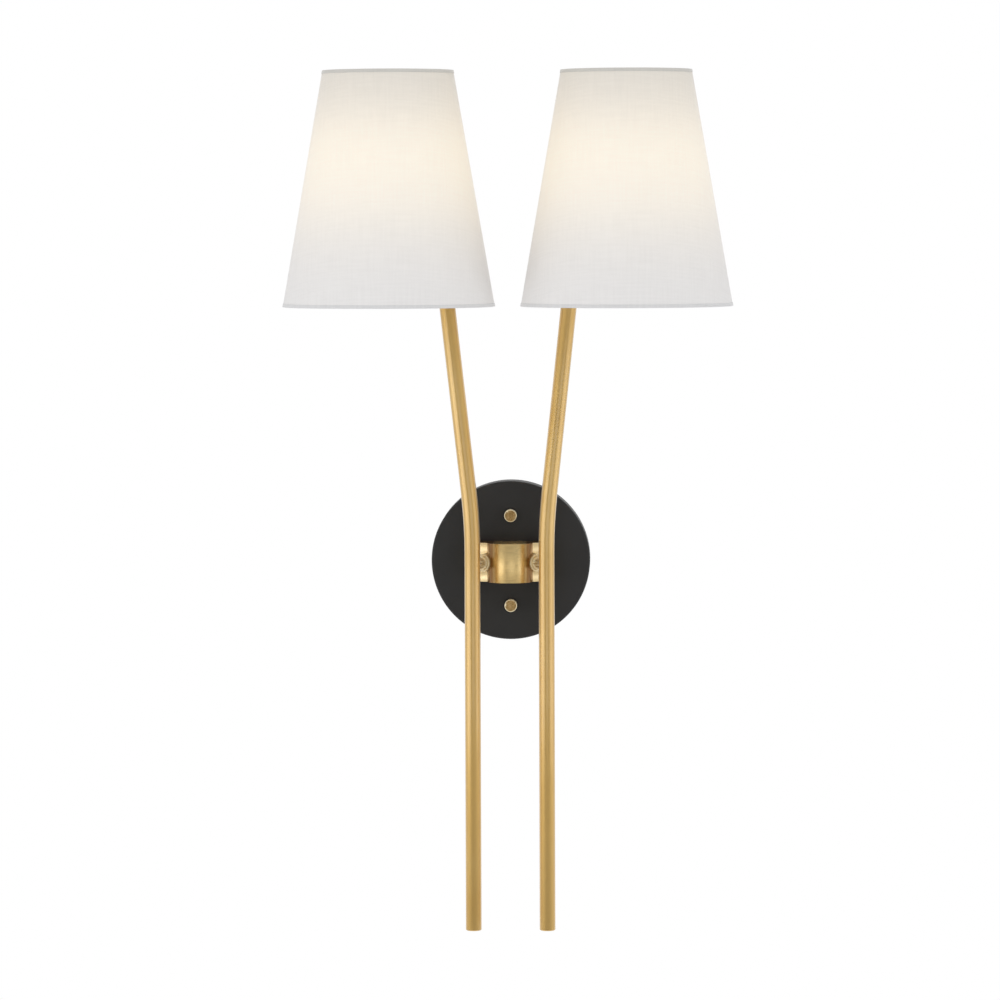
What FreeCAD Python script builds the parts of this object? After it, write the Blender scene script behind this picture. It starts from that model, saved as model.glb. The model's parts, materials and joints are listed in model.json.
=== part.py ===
import FreeCAD, Part
import math
import os

# Double arm wall sconce, in millimetres.
# Origin: centre of the wall plate's back, on the wall.  +Z up, +X to the viewer's right, and the
# wall is the plane y = 0, so the lamp stands out towards -Y.

os.makedirs("parts", exist_ok=True)
V = FreeCAD.Vector
UP = V(0, 0, 1)
OUT = V(0, -1, 0)

# ---- overall sizes ---------------------------------------------------------------------------
overall_height = 660.4
overall_width = 342.9
foot_below_plate_centre = 282.75
shade_axis_reach = 97.0

# ---- shades ----------------------------------------------------------------------------------
shade_bottom_d = 162.0
shade_top_d = 100.0
shade_height = 179.3
hem_height = 2.4
hem_proud = 0.35
fabric_t = 0.6
liner_t = 0.4
laminate_gap = 0.05
hoop_wire_d = 2.4
hoop_gap = 0.17
spoke_wire_d = 2.4
spoke_count = 3
spoke_bend = 3.6
spoke_overlap = 1.8
spoke_knee = 2.4
spoke_drop = 0.6
fitter_ring_wall = 6.5
fitter_ring_t = 1.4

# ---- arms ------------------------------------------------------------------------------------
arm_d = 12.2
arm_wall = 1.0
arm_spacing = 56.9
arm_reach = 70.0
arm_bend_above_plate_centre = 32.0
arm_bend_radius = 300.0
arm_lean_out_deg = 6.13
arm_lean_forward_deg = 6.13
elbow_above_rim = 14.5
elbow_rise = 12.0
elbow_radius = 22.0
arm_stub = 5.6
plug_cap_t = 1.6
plug_depth = 8.0
plug_edge = 0.6
plug_clearance = 0.05

# ---- wall plate and its mounting -------------------------------------------------------------
plate_d = 123.0
plate_depth = 26.0
plate_wall = 1.5
plate_edge_radius = 1.6
wire_hole_d = 12.0
grommet_bore_d = 7.0
grommet_lip = 1.6
grommet_lip_t = 1.2
bracket_d = 104.0
bracket_t = 2.0
bracket_opening_d = 30.0
bracket_slot_spacing = 79.4
bracket_slot_length = 14.3
bracket_slot_w = 4.8
stud_spacing = 69.85
stud_d = 4.17
stud_past_plate = 5.2
stud_clearance = 0.35
stud_nut_af = 8.7
stud_nut_t = 3.2
cap_nut_d = 9.7
cap_nut_h = 6.4
cap_nut_edge_r = 0.6
cap_nut_dish_d = 7.2
cap_nut_dish = 0.25
cap_nut_roof = 1.0
thread_fit = 0.05
nut_washer_d = 10.6
nut_washer_t = 0.8
seat_gap = 0.02
ground_screw_x = -24.0
ground_screw_z = -24.0
ground_screw_head_d = 8.0
ground_screw_head_h = 3.0
ground_screw_d = 4.1
ground_screw_slot_w = 1.2
ground_screw_slot_depth = 1.0

# ---- hub -------------------------------------------------------------------------------------
hub_w = 66.0
hub_h = 30.0
hub_depth = 24.0
hub_bulge_w = 35.2
hub_bulge = hub_bulge_w / 2
hub_wall = 3.0
hub_front_t = 8.0
hub_edge = 0.7
hub_screw_x = 29.0
hub_screw_d = 3.9
hub_screw_len = 14.0
hub_screw_head_d = 7.6
hub_screw_head_h = 2.8
hub_screw_slot_w = 1.0
hub_screw_slot_depth = 0.9
hub_screw_end_gap = 2.0
hub_post_d = 7.0
hub_washer_d = 9.0
hub_washer_t = 0.8

# ---- bosses that carry the arms --------------------------------------------------------------
boss_turn_deg = 27.0
boss_d = 13.6
boss_len = 10.1
boss_shoulder_r = 1.8
boss_neck_d = 9.2
boss_pocket_gap = 0.3
boss_seat_sink = 2.6
nipple_d = 7.0
nipple_bore_d = 4.8
nipple_fit = 0.05
nipple_tail = 5.0
nipple_into_arm = 0.5
lock_nut_af = 11.0
lock_nut_t = 3.0
lock_seat_d = 14.0
boss_web = 3.2
arm_seat_gap = 0.05

# ---- sockets ---------------------------------------------------------------------------------
cup_d = 32.0
cup_h = 14.4
cup_wall = 1.2
cup_neck_r = 8.0
feed_nipple_d = 9.9
feed_nipple_bore_d = 6.6
feed_nipple_below = 5.0
feed_nipple_above = 9.6
cup_nut_af = 14.0
cup_nut_t = 3.0
body_lift = 5.0
body_h = 32.0
body_skirt_gap = 0.5
body_shoulder_d = 34.0
body_shoulder_t = 1.8
body_thread_d = 25.8
body_bore_d = 14.4
body_floor_t = 7.0
body_root_depth = 0.5
ring_thread_pitch = 2.0
ring_thread_flat = 0.5
socket_shell_gap = 0.3
socket_shell_wall = 0.4
socket_shell_up = 1.0
socket_shell_below_rim = 2.0
contact_d = 7.0
contact_t = 0.6
contact_rise = 1.8

# ---- ring that holds each shade --------------------------------------------------------------
fitter_play = 0.3
fitter_fit = 0.3
washer_wall = 4.2
washer_t = 0.8
washer_play = 0.25
ring_d = 36.0
ring_h = 8.0
ring_fit = 0.08
ring_play = 0.02
ring_lug_count = 12
ring_lug_d = 2.4

# ---- bulbs -----------------------------------------------------------------------------------
bulb_base_d = 11.9
bulb_base_h = 17.0
bulb_base_wall = 0.3
bulb_thread_depth = 0.45
bulb_thread_pitch = 2.54
bulb_thread_flank = 0.89
bulb_insulator_h = 2.6
bulb_tip_d = 4.6
bulb_tip_h = 1.0
bulb_tip_play = 0.4
bulb_part_gap = 0.05
bulb_glass_d = 48.0
bulb_glass_h = 59.0
bulb_neck_d = 10.6
bulb_shoulder_r = 14.0
bulb_glass_t = 0.9
bulb_neck_tuck = 1.8

# ---- wiring ----------------------------------------------------------------------------------
lead_d = 1.8
lead_half_pitch = 1.3
lead_arm_offset = 1.4
lead_bend = 4.0
connector_d = 11.0
connector_tip_d = 7.0
connector_len = 21.0
connector_off_wall = 13.0
connector_mouth_z = 9.0
connector_mouth_d = 6.6
connector_mouth_depth = 4.0
connector_skirt_len = 7.0

# ---- how far cutting tools run past the faces they open ---------------------------------------
overcut = 1.0

# ---- places worked out from the sizes --------------------------------------------------------
foot_z = -foot_below_plate_centre
top_z = overall_height - foot_below_plate_centre
rim_z = top_z - shade_height
shade_x = (overall_width - shade_bottom_d) / 2
shade_y = -shade_axis_reach
arm_x = arm_spacing / 2
arm_y = -arm_reach
arm_r = arm_d / 2
arm_bore_r = arm_r - arm_wall
bend_z = arm_bend_above_plate_centre
elbow_z = rim_z + elbow_above_rim
elbow_x = arm_x + (elbow_z - bend_z) * math.tan(math.radians(arm_lean_out_deg))
elbow_y = arm_y - (elbow_z - bend_z) * math.tan(math.radians(arm_lean_forward_deg))
crossing = V(shade_x - elbow_x, shade_y - elbow_y, elbow_rise)
arm_end_z = elbow_z + elbow_rise + elbow_radius * math.tan(crossing.getAngle(UP) / 2) + arm_stub
plate_front_y = -plate_depth
plate_inner_y = plate_front_y + plate_wall
flange_y = plate_front_y - hub_depth
chamber_y = flange_y + hub_front_t
bracket_front_y = -bracket_t
boss_turn = math.radians(boss_turn_deg)
boss_foot_x = arm_x - (arm_reach + flange_y) * math.tan(boss_turn)
boss_reach = (arm_reach + flange_y) / math.cos(boss_turn)
# The hub's shoulders lie square to the bosses, so they slope back towards the hub's ends.
shoulder_end_y = flange_y + (hub_w - hub_bulge_w) / 2 * math.tan(boss_turn)
cup_top_z = arm_end_z + cup_h
body_z = arm_end_z + body_lift
body_top_z = body_z + body_h
body_floor_z = body_z + body_floor_t
shoulder_z = cup_top_z + body_shoulder_t
fitter_z = shoulder_z + fitter_play
washer_z = fitter_z + fitter_ring_t + washer_play
ring_z = washer_z + washer_t + ring_play
contact_top_z = body_floor_z + contact_t + contact_rise
bulb_tip_z = contact_top_z + bulb_tip_play
bulb_insulator_z = bulb_tip_z + bulb_tip_h
bulb_base_z = bulb_insulator_z + bulb_insulator_h
bulb_base_top_z = bulb_base_z + bulb_base_h


# ---- helpers ---------------------------------------------------------------------------------
def rod(radius, length, start, direction=UP):
    return Part.makeCylinder(radius, length, start, direction)


def tube(outer_r, inner_r, length, start, direction=UP):
    return rod(outer_r, length, start, direction).cut(rod(inner_r, length, start, direction))


def box(low, high):
    return Part.makeBox(high.x - low.x, high.y - low.y, high.z - low.z, low)


def hex_nut(across_flats, bore_r, thickness, start, direction):
    corner = across_flats / math.sqrt(3)
    points = [V(corner * math.cos(math.radians(60 * k)), corner * math.sin(math.radians(60 * k)), 0)
              for k in range(7)]
    nut = Part.Face(Part.makePolygon(points)).extrude(V(0, 0, thickness))
    nut = nut.cut(rod(bore_r, thickness, V(0, 0, 0)))
    nut.Placement = FreeCAD.Placement(start, FreeCAD.Rotation(UP, direction))
    return nut


def turned(profile, axis_x, axis_y):
    """Solid turned about a vertical axis from (radius, height) points."""
    points = [V(r, 0, z) for r, z in profile]
    face = Part.Face(Part.makePolygon(points + points[:1]))
    solid = face.revolve(V(0, 0, 0), UP, 360)
    solid.translate(V(axis_x, axis_y, 0))
    return solid


def turned_along(profile, start, direction):
    """Solid turned about any axis from (radius, distance) points."""
    points = [V(r, 0, z) for r, z in profile]
    face = Part.Face(Part.makePolygon(points + points[:1]))
    solid = face.revolve(V(0, 0, 0), UP, 360)
    solid.Placement = FreeCAD.Placement(start, FreeCAD.Rotation(UP, direction))
    return solid


def rounded_rim(solid, radius, centre, rounding):
    """Rounds the circular edge that has this radius and centre."""
    rim = [e for e in solid.Edges if isinstance(e.Curve, Part.Circle)
           and abs(e.Curve.Radius - radius) < 0.01 and (e.Curve.Center - centre).Length < 0.01]
    return solid.makeFillet(rounding, rim)


def rounded_path(points, radii):
    """Straight runs joined by tangent arcs; radii belong to the inner points."""
    edges = []
    here = points[0]
    for before, corner, after, radius in zip(points, points[1:], points[2:], radii):
        go_in = (corner - before).normalize()
        go_out = (after - corner).normalize()
        turn = go_in.getAngle(go_out)
        setback = radius * math.tan(turn / 2)
        arc_start = corner - go_in * setback
        arc_end = corner + go_out * setback
        inward = (go_out - go_in).normalize()
        centre = corner + inward * (radius / math.cos(turn / 2))
        arc_middle = centre - inward * radius
        edges.append(Part.LineSegment(here, arc_start).toShape())
        edges.append(Part.Arc(arc_start, arc_middle, arc_end).toShape())
        here = arc_end
    edges.append(Part.LineSegment(here, points[-1]).toShape())
    return Part.Wire(edges)


def swept_rod(points, radii, radius):
    path = rounded_path(points, radii)
    section = Part.Wire(Part.makeCircle(radius, points[0], points[1] - points[0]))
    return path.makePipeShell([section], True, False)


def save(name, *solids):
    shape = solids[0] if len(solids) == 1 else Part.makeCompound(list(solids))
    shape.exportStep("parts/%s.step" % name)


# ---- wall plate and mounting -----------------------------------------------------------------
def make_bracket():
    disc = tube(bracket_d / 2, bracket_opening_d / 2, bracket_t, V(0, 0, 0), OUT)
    slot_r = bracket_slot_w / 2
    slot_half = bracket_slot_length / 2 - slot_r
    for side in (-1, 1):
        middle = side * bracket_slot_spacing / 2
        for end in (-1, 1):
            disc = disc.cut(rod(slot_r, bracket_t, V(middle + end * slot_half, 0, 0), OUT))
        disc = disc.cut(box(V(middle - slot_half, bracket_front_y, -slot_r),
                            V(middle + slot_half, 0, slot_r)))
        disc = disc.cut(rod(stud_d / 2 + thread_fit, bracket_t, V(0, 0, side * stud_spacing / 2), OUT))
    ground_hole = V(ground_screw_x, 0, ground_screw_z)
    save("mounting_bracket", disc.cut(rod(ground_screw_d / 2 + thread_fit, bracket_t, ground_hole, OUT)))


def make_studs():
    studs = []
    nuts = []
    for side in (-1, 1):
        z = side * stud_spacing / 2
        studs.append(rod(stud_d / 2, plate_depth + stud_past_plate, V(0, 0, z), OUT))
        seat = V(0, bracket_front_y, z)
        nuts.append(hex_nut(stud_nut_af, stud_d / 2 + thread_fit, stud_nut_t, seat, OUT))
    save("plate_studs", *studs)
    save("stud_lock_nuts", *nuts)


def make_ground_screw():
    seat = V(ground_screw_x, bracket_front_y - lead_d, ground_screw_z)
    head = rod(ground_screw_head_d / 2, ground_screw_head_h, seat, OUT)
    slot_y = seat.y - ground_screw_head_h
    head = head.cut(box(V(seat.x - ground_screw_head_d, slot_y, seat.z - ground_screw_slot_w / 2),
                        V(seat.x + ground_screw_head_d, slot_y + ground_screw_slot_depth,
                          seat.z + ground_screw_slot_w / 2)))
    shank = rod(ground_screw_d / 2, bracket_t + lead_d, V(seat.x, 0, seat.z), OUT)
    save("ground_screw", head.fuse(shank))


def make_backplate():
    r = plate_d / 2
    shell = rod(r, plate_depth, V(0, 0, 0), OUT)
    rim = [e for e in shell.Edges if abs(e.CenterOfMass.y - plate_front_y) < 0.01 and e.Length > r]
    shell = shell.makeFillet(plate_edge_radius, rim[:1])
    shell = shell.cut(rod(r - plate_wall, plate_depth - plate_wall, V(0, 0, 0), OUT))
    for side in (-1, 1):
        shell = shell.cut(rod(stud_d / 2 + stud_clearance, plate_depth + overcut,
                              V(0, 0, side * stud_spacing / 2), OUT))
        shell = shell.cut(rod(hub_screw_d / 2 + stud_clearance, plate_depth + overcut,
                              V(side * hub_screw_x, 0, 0), OUT))
    shell = shell.cut(rod(wire_hole_d / 2, plate_depth + overcut, V(0, 0, 0), OUT))
    save("backplate", shell)


def make_grommet():
    groove_r = wire_hole_d / 2
    lip_r = groove_r + grommet_lip
    inner_y = plate_inner_y + grommet_lip_t
    body = rod(groove_r, plate_wall + 2 * grommet_lip_t, V(0, inner_y, 0), OUT)
    for y in (inner_y, plate_front_y):
        body = body.fuse(rod(lip_r, grommet_lip_t, V(0, y, 0), OUT))
    body = body.cut(rod(grommet_bore_d / 2, plate_wall + 2 * grommet_lip_t, V(0, inner_y, 0), OUT))
    save("wire_grommet", body)


def make_cap_nuts():
    for name, side in (("upper", 1), ("lower", -1)):
        z = side * stud_spacing / 2
        face = V(0, plate_front_y - seat_gap, z)
        bore_r = stud_d / 2 + thread_fit
        washer = tube(nut_washer_d / 2, bore_r + stud_clearance, nut_washer_t, face, OUT)
        save("nut_washer_" + name, washer)
        seat = V(0, face.y - nut_washer_t - seat_gap, z)
        r = cap_nut_d / 2
        top = seat + OUT * cap_nut_h
        nut = rounded_rim(rod(r, cap_nut_h, seat, OUT), r, top, cap_nut_edge_r)
        nut = nut.cut(rod(cap_nut_dish_d / 2, cap_nut_dish, top - OUT * cap_nut_dish, OUT))
        save("cap_nut_" + name, nut.cut(rod(bore_r, cap_nut_h - cap_nut_roof, seat, OUT)))


# ---- hub -------------------------------------------------------------------------------------
def boss_axis(side):
    foot = V(side * boss_foot_x, flange_y, 0)
    direction = V(side * math.sin(boss_turn), -math.cos(boss_turn), 0)
    return foot, direction


def hub_outline():
    half = hub_w / 2
    root = hub_bulge_w / 2
    points = [V(-root, flange_y, 0), V(-half, shoulder_end_y, 0), V(-half, plate_front_y, 0),
              V(half, plate_front_y, 0), V(half, shoulder_end_y, 0), V(root, flange_y, 0)]
    edges = [Part.LineSegment(a, b).toShape() for a, b in zip(points, points[1:])]
    edges.append(Part.Arc(points[-1], V(0, flange_y - hub_bulge, 0), points[0]).toShape())
    return Part.Face(Part.Wire(edges))


def make_hub():
    outline = hub_outline()
    outline.translate(V(0, 0, -hub_h / 2))
    hub = outline.extrude(V(0, 0, hub_h))
    corners = [e for e in hub.Edges
               if abs(abs(e.CenterOfMass.x) - hub_w / 2) < 0.01
               and abs(e.CenterOfMass.y - shoulder_end_y) < 0.01]
    hub = hub.makeFillet(hub_edge, corners)
    inside = box(V(hub_wall - hub_w / 2, chamber_y, hub_wall - hub_h / 2),
                 V(hub_w / 2 - hub_wall, plate_front_y + overcut, hub_h / 2 - hub_wall))
    post_len = plate_front_y - chamber_y + overcut
    posts = [rod(hub_post_d / 2, post_len, V(side * hub_screw_x, plate_front_y, 0), OUT)
             for side in (-1, 1)]
    hub = hub.cut(inside).fuse(posts).removeSplitter()
    for side in (-1, 1):
        foot, direction = boss_axis(side)
        seat = foot - direction * boss_seat_sink
        hub = hub.cut(rod(boss_d / 2 + boss_pocket_gap, boss_len + hub_bulge, seat, direction))
        nut_seat = seat - direction * boss_web
        hub = hub.cut(rod(nipple_d / 2 + nipple_fit, boss_web, nut_seat, direction))
        hub = hub.cut(rod(lock_seat_d / 2, hub_front_t, nut_seat, direction * -1))
        hub = hub.cut(rod(hub_screw_d / 2 + thread_fit, hub_screw_len,
                          V(side * hub_screw_x, plate_front_y, 0), OUT))
    save("hub", hub)


def make_hub_screws():
    screws = []
    washers = []
    for side in (-1, 1):
        x = side * hub_screw_x
        washers.append(tube(hub_washer_d / 2, hub_screw_d / 2 + stud_clearance, hub_washer_t,
                            V(x, plate_inner_y + hub_washer_t, 0), OUT))
        head_seat = plate_inner_y + hub_washer_t
        head = rod(hub_screw_head_d / 2, hub_screw_head_h, V(x, head_seat + hub_screw_head_h, 0), OUT)
        slot_y = head_seat + hub_screw_head_h - hub_screw_slot_depth
        head = head.cut(box(V(x - hub_screw_head_d, slot_y, -hub_screw_slot_w / 2),
                            V(x + hub_screw_head_d, slot_y + hub_screw_slot_depth, hub_screw_slot_w / 2)))
        shank_len = head_seat - plate_front_y + hub_screw_len - hub_screw_end_gap
        shank = rod(hub_screw_d / 2, shank_len, V(x, head_seat, 0), OUT)
        screws.append(head.fuse(shank))
    save("hub_screws", *screws)
    save("hub_washers", *washers)


def make_boss(name, side):
    foot, direction = boss_axis(side)
    seat = foot - direction * boss_seat_sink
    r = boss_d / 2
    neck_r = boss_neck_d / 2
    reach = boss_reach + boss_seat_sink
    profile = [(0, 0), (r, 0), (r, boss_len), (neck_r, boss_len), (neck_r, reach), (0, reach)]
    boss = turned_along(profile, seat, direction)
    boss = rounded_rim(boss, r, seat + direction * boss_len, boss_shoulder_r)
    boss = boss.cut(rod(nipple_d / 2 + nipple_fit, reach, seat, direction))
    around_arm = rod(arm_r + arm_seat_gap, 4 * arm_d, V(side * arm_x, arm_y, -2 * arm_d))
    save("arm_boss_" + name, boss.cut(around_arm))

    start = seat - direction * (boss_web + nipple_tail)
    length = boss_web + nipple_tail + reach - arm_bore_r + nipple_into_arm
    save("arm_nipple_" + name, tube(nipple_d / 2, nipple_bore_d / 2, length, start, direction))
    lock_seat = seat - direction * boss_web
    lock_nut = hex_nut(lock_nut_af, nipple_d / 2 + nipple_fit, lock_nut_t, lock_seat, direction * -1)
    save("arm_lock_nut_" + name, lock_nut)


# ---- arms ------------------------------------------------------------------------------------
def arm_points(side, offset=V(0, 0, 0)):
    """Corner points of the arm's centre line, from its foot to the socket."""
    points = [V(side * arm_x, arm_y, foot_z + plug_cap_t), V(side * arm_x, arm_y, bend_z),
              V(side * elbow_x, elbow_y, elbow_z), V(side * shade_x, shade_y, elbow_z + elbow_rise),
              V(side * shade_x, shade_y, arm_end_z)]
    return [p + offset for p in points]


arm_radii = [arm_bend_radius, elbow_radius, elbow_radius]


def make_arm(name, side):
    points = arm_points(side)
    solid = swept_rod(points, arm_radii, arm_r)
    bore = swept_rod(points, arm_radii, arm_bore_r)
    foot, direction = boss_axis(side)
    arm = solid.cut(bore)
    arm = arm.cut(rod(nipple_d / 2 + nipple_fit, boss_reach, foot, direction))
    save("arm_tube_" + name, arm)

    x, y = side * arm_x, arm_y
    spigot_r = arm_bore_r - plug_clearance
    seat_z = foot_z + plug_cap_t
    profile = [(0, foot_z), (arm_r - plug_edge, foot_z), (arm_r, foot_z + plug_edge), (arm_r, seat_z),
               (spigot_r, seat_z), (spigot_r, seat_z + plug_depth), (0, seat_z + plug_depth)]
    save("arm_plug_" + name, turned(profile, x, y))


# ---- sockets ---------------------------------------------------------------------------------
def make_socket(name, side):
    x, y = side * shade_x, shade_y
    nipple_r = feed_nipple_d / 2
    fit_r = nipple_r + thread_fit
    nipple_len = feed_nipple_below + feed_nipple_above
    save("feed_nipple_" + name, tube(nipple_r, feed_nipple_bore_d / 2, nipple_len,
                                     V(x, y, arm_end_z - feed_nipple_below)))

    cup_r = cup_d / 2
    foot_r = cup_neck_r + cup_wall
    profile = [(fit_r, arm_end_z), (foot_r, arm_end_z), (cup_r, arm_end_z + cup_h / 2), (cup_r, cup_top_z),
               (cup_r - cup_wall, cup_top_z), (cup_r - cup_wall, arm_end_z + cup_h / 2 + cup_wall / 2),
               (foot_r - cup_wall / 2, arm_end_z + cup_wall), (fit_r, arm_end_z + cup_wall)]
    save("socket_cup_" + name, turned(profile, x, y))
    save("cup_nut_" + name, hex_nut(cup_nut_af, fit_r, cup_nut_t, V(x, y, arm_end_z + cup_wall), UP))

    skirt_r = cup_r - cup_wall - body_skirt_gap
    thread_r = body_thread_d / 2
    root_r = thread_r - body_root_depth
    waist_r = nipple_r + cup_wall
    profile = [(0, body_z), (waist_r, body_z), (skirt_r, arm_end_z + cup_h / 2 + cup_wall),
               (skirt_r, cup_top_z), (body_shoulder_d / 2, cup_top_z), (body_shoulder_d / 2, shoulder_z)]
    z = shoulder_z
    while z + ring_thread_pitch < body_top_z:
        profile += [(root_r, z), (root_r, z + ring_thread_flat), (thread_r, z + 2 * ring_thread_flat),
                    (thread_r, z + 3 * ring_thread_flat)]
        z += ring_thread_pitch
    profile += [(root_r, z), (root_r, body_top_z), (0, body_top_z)]
    body = turned(profile, x, y)
    body = body.cut(rod(body_bore_d / 2, body_h, V(x, y, body_floor_z)))
    body = body.cut(rod(fit_r, feed_nipple_above - body_lift + thread_fit, V(x, y, body_z)))
    body = body.cut(rod(feed_nipple_bore_d / 2, body_h, V(x, y, body_z)))
    save("socket_body_" + name, body)

    shell_r = body_bore_d / 2 - socket_shell_gap
    shell_z = body_floor_z + socket_shell_up
    save("socket_shell_" + name, tube(shell_r, shell_r - socket_shell_wall,
                                      body_top_z - socket_shell_below_rim - shell_z, V(x, y, shell_z)))
    disc = rod(contact_d / 2, contact_t, V(x, y, body_floor_z))
    riser = rod(contact_d / 4, contact_rise, V(x, y, body_floor_z + contact_t))
    save("socket_contact_" + name, disc.fuse(riser))


def make_shade_ring(name, side):
    x, y = side * shade_x, shade_y
    inner_r = body_thread_d / 2 + ring_fit
    save("shade_washer_" + name, tube(inner_r + washer_wall, inner_r + ring_fit, washer_t,
                                      V(x, y, washer_z)))
    ring = tube(ring_d / 2, inner_r, ring_h, V(x, y, ring_z))
    for k in range(ring_lug_count):
        turn = 2 * math.pi * k / ring_lug_count
        groove = V(x + ring_d / 2 * math.cos(turn), y + ring_d / 2 * math.sin(turn), ring_z)
        ring = ring.cut(rod(ring_lug_d / 2, ring_h, groove))
    save("shade_ring_" + name, ring)


# ---- shades ----------------------------------------------------------------------------------
def shade_radius(z, inset):
    """Radius of the shade's cone at a height, measured in from the outside of its hems."""
    share = (z - rim_z) / shade_height
    return shade_bottom_d / 2 + (shade_top_d - shade_bottom_d) / 2 * share - inset


def cone_skin(outer_inset, thickness, x, y):
    low = [(shade_radius(rim_z, outer_inset), rim_z), (shade_radius(top_z, outer_inset), top_z)]
    high = [(shade_radius(top_z, outer_inset + thickness), top_z),
            (shade_radius(rim_z, outer_inset + thickness), rim_z)]
    return turned(low + high, x, y)


def make_shade(name, side):
    x, y = side * shade_x, shade_y
    hem_low = rim_z + hem_height
    hem_high = top_z - hem_height
    inner = hem_proud + fabric_t
    profile = [(shade_radius(rim_z, 0), rim_z), (shade_radius(hem_low, 0), hem_low),
               (shade_radius(hem_low, hem_proud), hem_low), (shade_radius(hem_high, hem_proud), hem_high),
               (shade_radius(hem_high, 0), hem_high), (shade_radius(top_z, 0), top_z),
               (shade_radius(top_z, inner), top_z), (shade_radius(rim_z, inner), rim_z)]
    save("shade_fabric_" + name, turned(profile, x, y))
    save("shade_liner_" + name, cone_skin(inner + laminate_gap, liner_t, x, y))

    wire_r = hoop_wire_d / 2
    lean = math.atan2(shade_bottom_d - shade_top_d, 2 * shade_height)
    inset = inner + laminate_gap + liner_t + (hoop_gap + wire_r) / math.cos(lean)
    top_hoop_z = top_z - wire_r
    low_hoop_z = rim_z + wire_r
    top_hoop = Part.makeTorus(shade_radius(top_hoop_z, inset), wire_r, V(x, y, top_hoop_z), UP)
    save("shade_top_hoop_" + name, top_hoop)

    low_hoop_r = shade_radius(low_hoop_z, inset)
    frame = Part.makeTorus(low_hoop_r, wire_r, V(x, y, low_hoop_z), UP)
    ring_inner_r = body_thread_d / 2 + fitter_fit
    ring_outer_r = ring_inner_r + fitter_ring_wall
    frame = frame.fuse(tube(ring_outer_r, ring_inner_r, fitter_ring_t, V(x, y, fitter_z)))
    spoke_r = spoke_wire_d / 2
    for k in range(spoke_count):
        turn = math.pi / 2 + 2 * math.pi * k / spoke_count
        outward = V(math.cos(turn), math.sin(turn), 0)
        hub_end = V(x, y, fitter_z - spoke_drop) + outward * (ring_outer_r - spoke_overlap)
        knee = V(x, y, fitter_z - spoke_drop) + outward * (ring_outer_r + spoke_knee)
        hoop_end = V(x, y, low_hoop_z) + outward * low_hoop_r
        frame = frame.fuse(swept_rod([hub_end, knee, hoop_end], [spoke_bend], spoke_r))
    save("shade_frame_" + name, frame)


# ---- bulbs -----------------------------------------------------------------------------------
def glass_profile(inset):
    """Face under the pear-shaped outline: neck, hollow shoulder and globe."""
    globe_r = bulb_glass_d / 2 - inset
    neck_r = bulb_neck_d / 2 - inset
    shoulder_r = bulb_shoulder_r + inset
    globe_z = bulb_base_top_z + bulb_glass_h - bulb_glass_d / 2
    start_z = bulb_base_top_z - bulb_neck_tuck
    drop = math.sqrt((globe_r + shoulder_r) ** 2 - (neck_r + shoulder_r) ** 2)
    shoulder_z = globe_z - drop
    share = globe_r / (globe_r + shoulder_r)
    join = V((neck_r + shoulder_r) * share, 0, globe_z - drop * share)
    half_turn = math.atan2(drop, neck_r + shoulder_r) / 2
    shoulder_mid = V(neck_r + shoulder_r - shoulder_r * math.cos(half_turn), 0,
                     shoulder_z + shoulder_r * math.sin(half_turn))
    crown = V(0, 0, globe_z + globe_r)
    side = V(globe_r, 0, globe_z)
    edges = [Part.LineSegment(V(0, 0, start_z), V(neck_r, 0, start_z)).toShape(),
             Part.LineSegment(V(neck_r, 0, start_z), V(neck_r, 0, shoulder_z)).toShape(),
             Part.Arc(V(neck_r, 0, shoulder_z), shoulder_mid, join).toShape(),
             Part.Arc(join, side, crown).toShape(),
             Part.LineSegment(crown, V(0, 0, start_z)).toShape()]
    return Part.Face(Part.Wire(edges))


def make_bulb(name, side):
    x, y = side * shade_x, shade_y
    outside = glass_profile(0).revolve(V(0, 0, 0), UP, 360)
    inside = glass_profile(bulb_glass_t).revolve(V(0, 0, 0), UP, 360)
    glass = outside.cut(inside)
    glass.translate(V(x, y, 0))
    save("bulb_glass_" + name, glass)

    crest = bulb_base_d / 2
    root = crest - bulb_thread_depth
    turns = int(bulb_base_h / bulb_thread_pitch) - 1
    outline = [(root, bulb_base_z)]
    for k in range(turns):
        z = bulb_base_z + k * bulb_thread_pitch
        next_z = z + bulb_thread_pitch
        outline += [(crest, z + bulb_thread_flank), (crest, next_z - bulb_thread_flank), (root, next_z)]
    outline += [(crest, bulb_base_top_z - bulb_thread_pitch), (crest, bulb_base_top_z)]
    bore_r = root - bulb_base_wall
    mouth_r = bulb_neck_d / 2 + bulb_part_gap
    mouth_z = bulb_base_top_z - bulb_neck_tuck - bulb_part_gap
    outline += [(mouth_r, bulb_base_top_z), (mouth_r, mouth_z), (bore_r - bulb_base_wall, mouth_z),
                (bore_r - bulb_base_wall, bulb_base_z)]
    save("bulb_base_" + name, turned(outline, x, y))

    tip = rod(bulb_tip_d / 2, bulb_tip_h, V(x, y, bulb_tip_z))
    cone_top_z = bulb_base_z - bulb_part_gap
    cone = turned([(0, bulb_insulator_z), (bulb_tip_d / 2, bulb_insulator_z),
                   (root - bulb_part_gap, cone_top_z), (0, cone_top_z)], x, y)
    save("bulb_contact_" + name, tip.fuse(cone))


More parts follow.
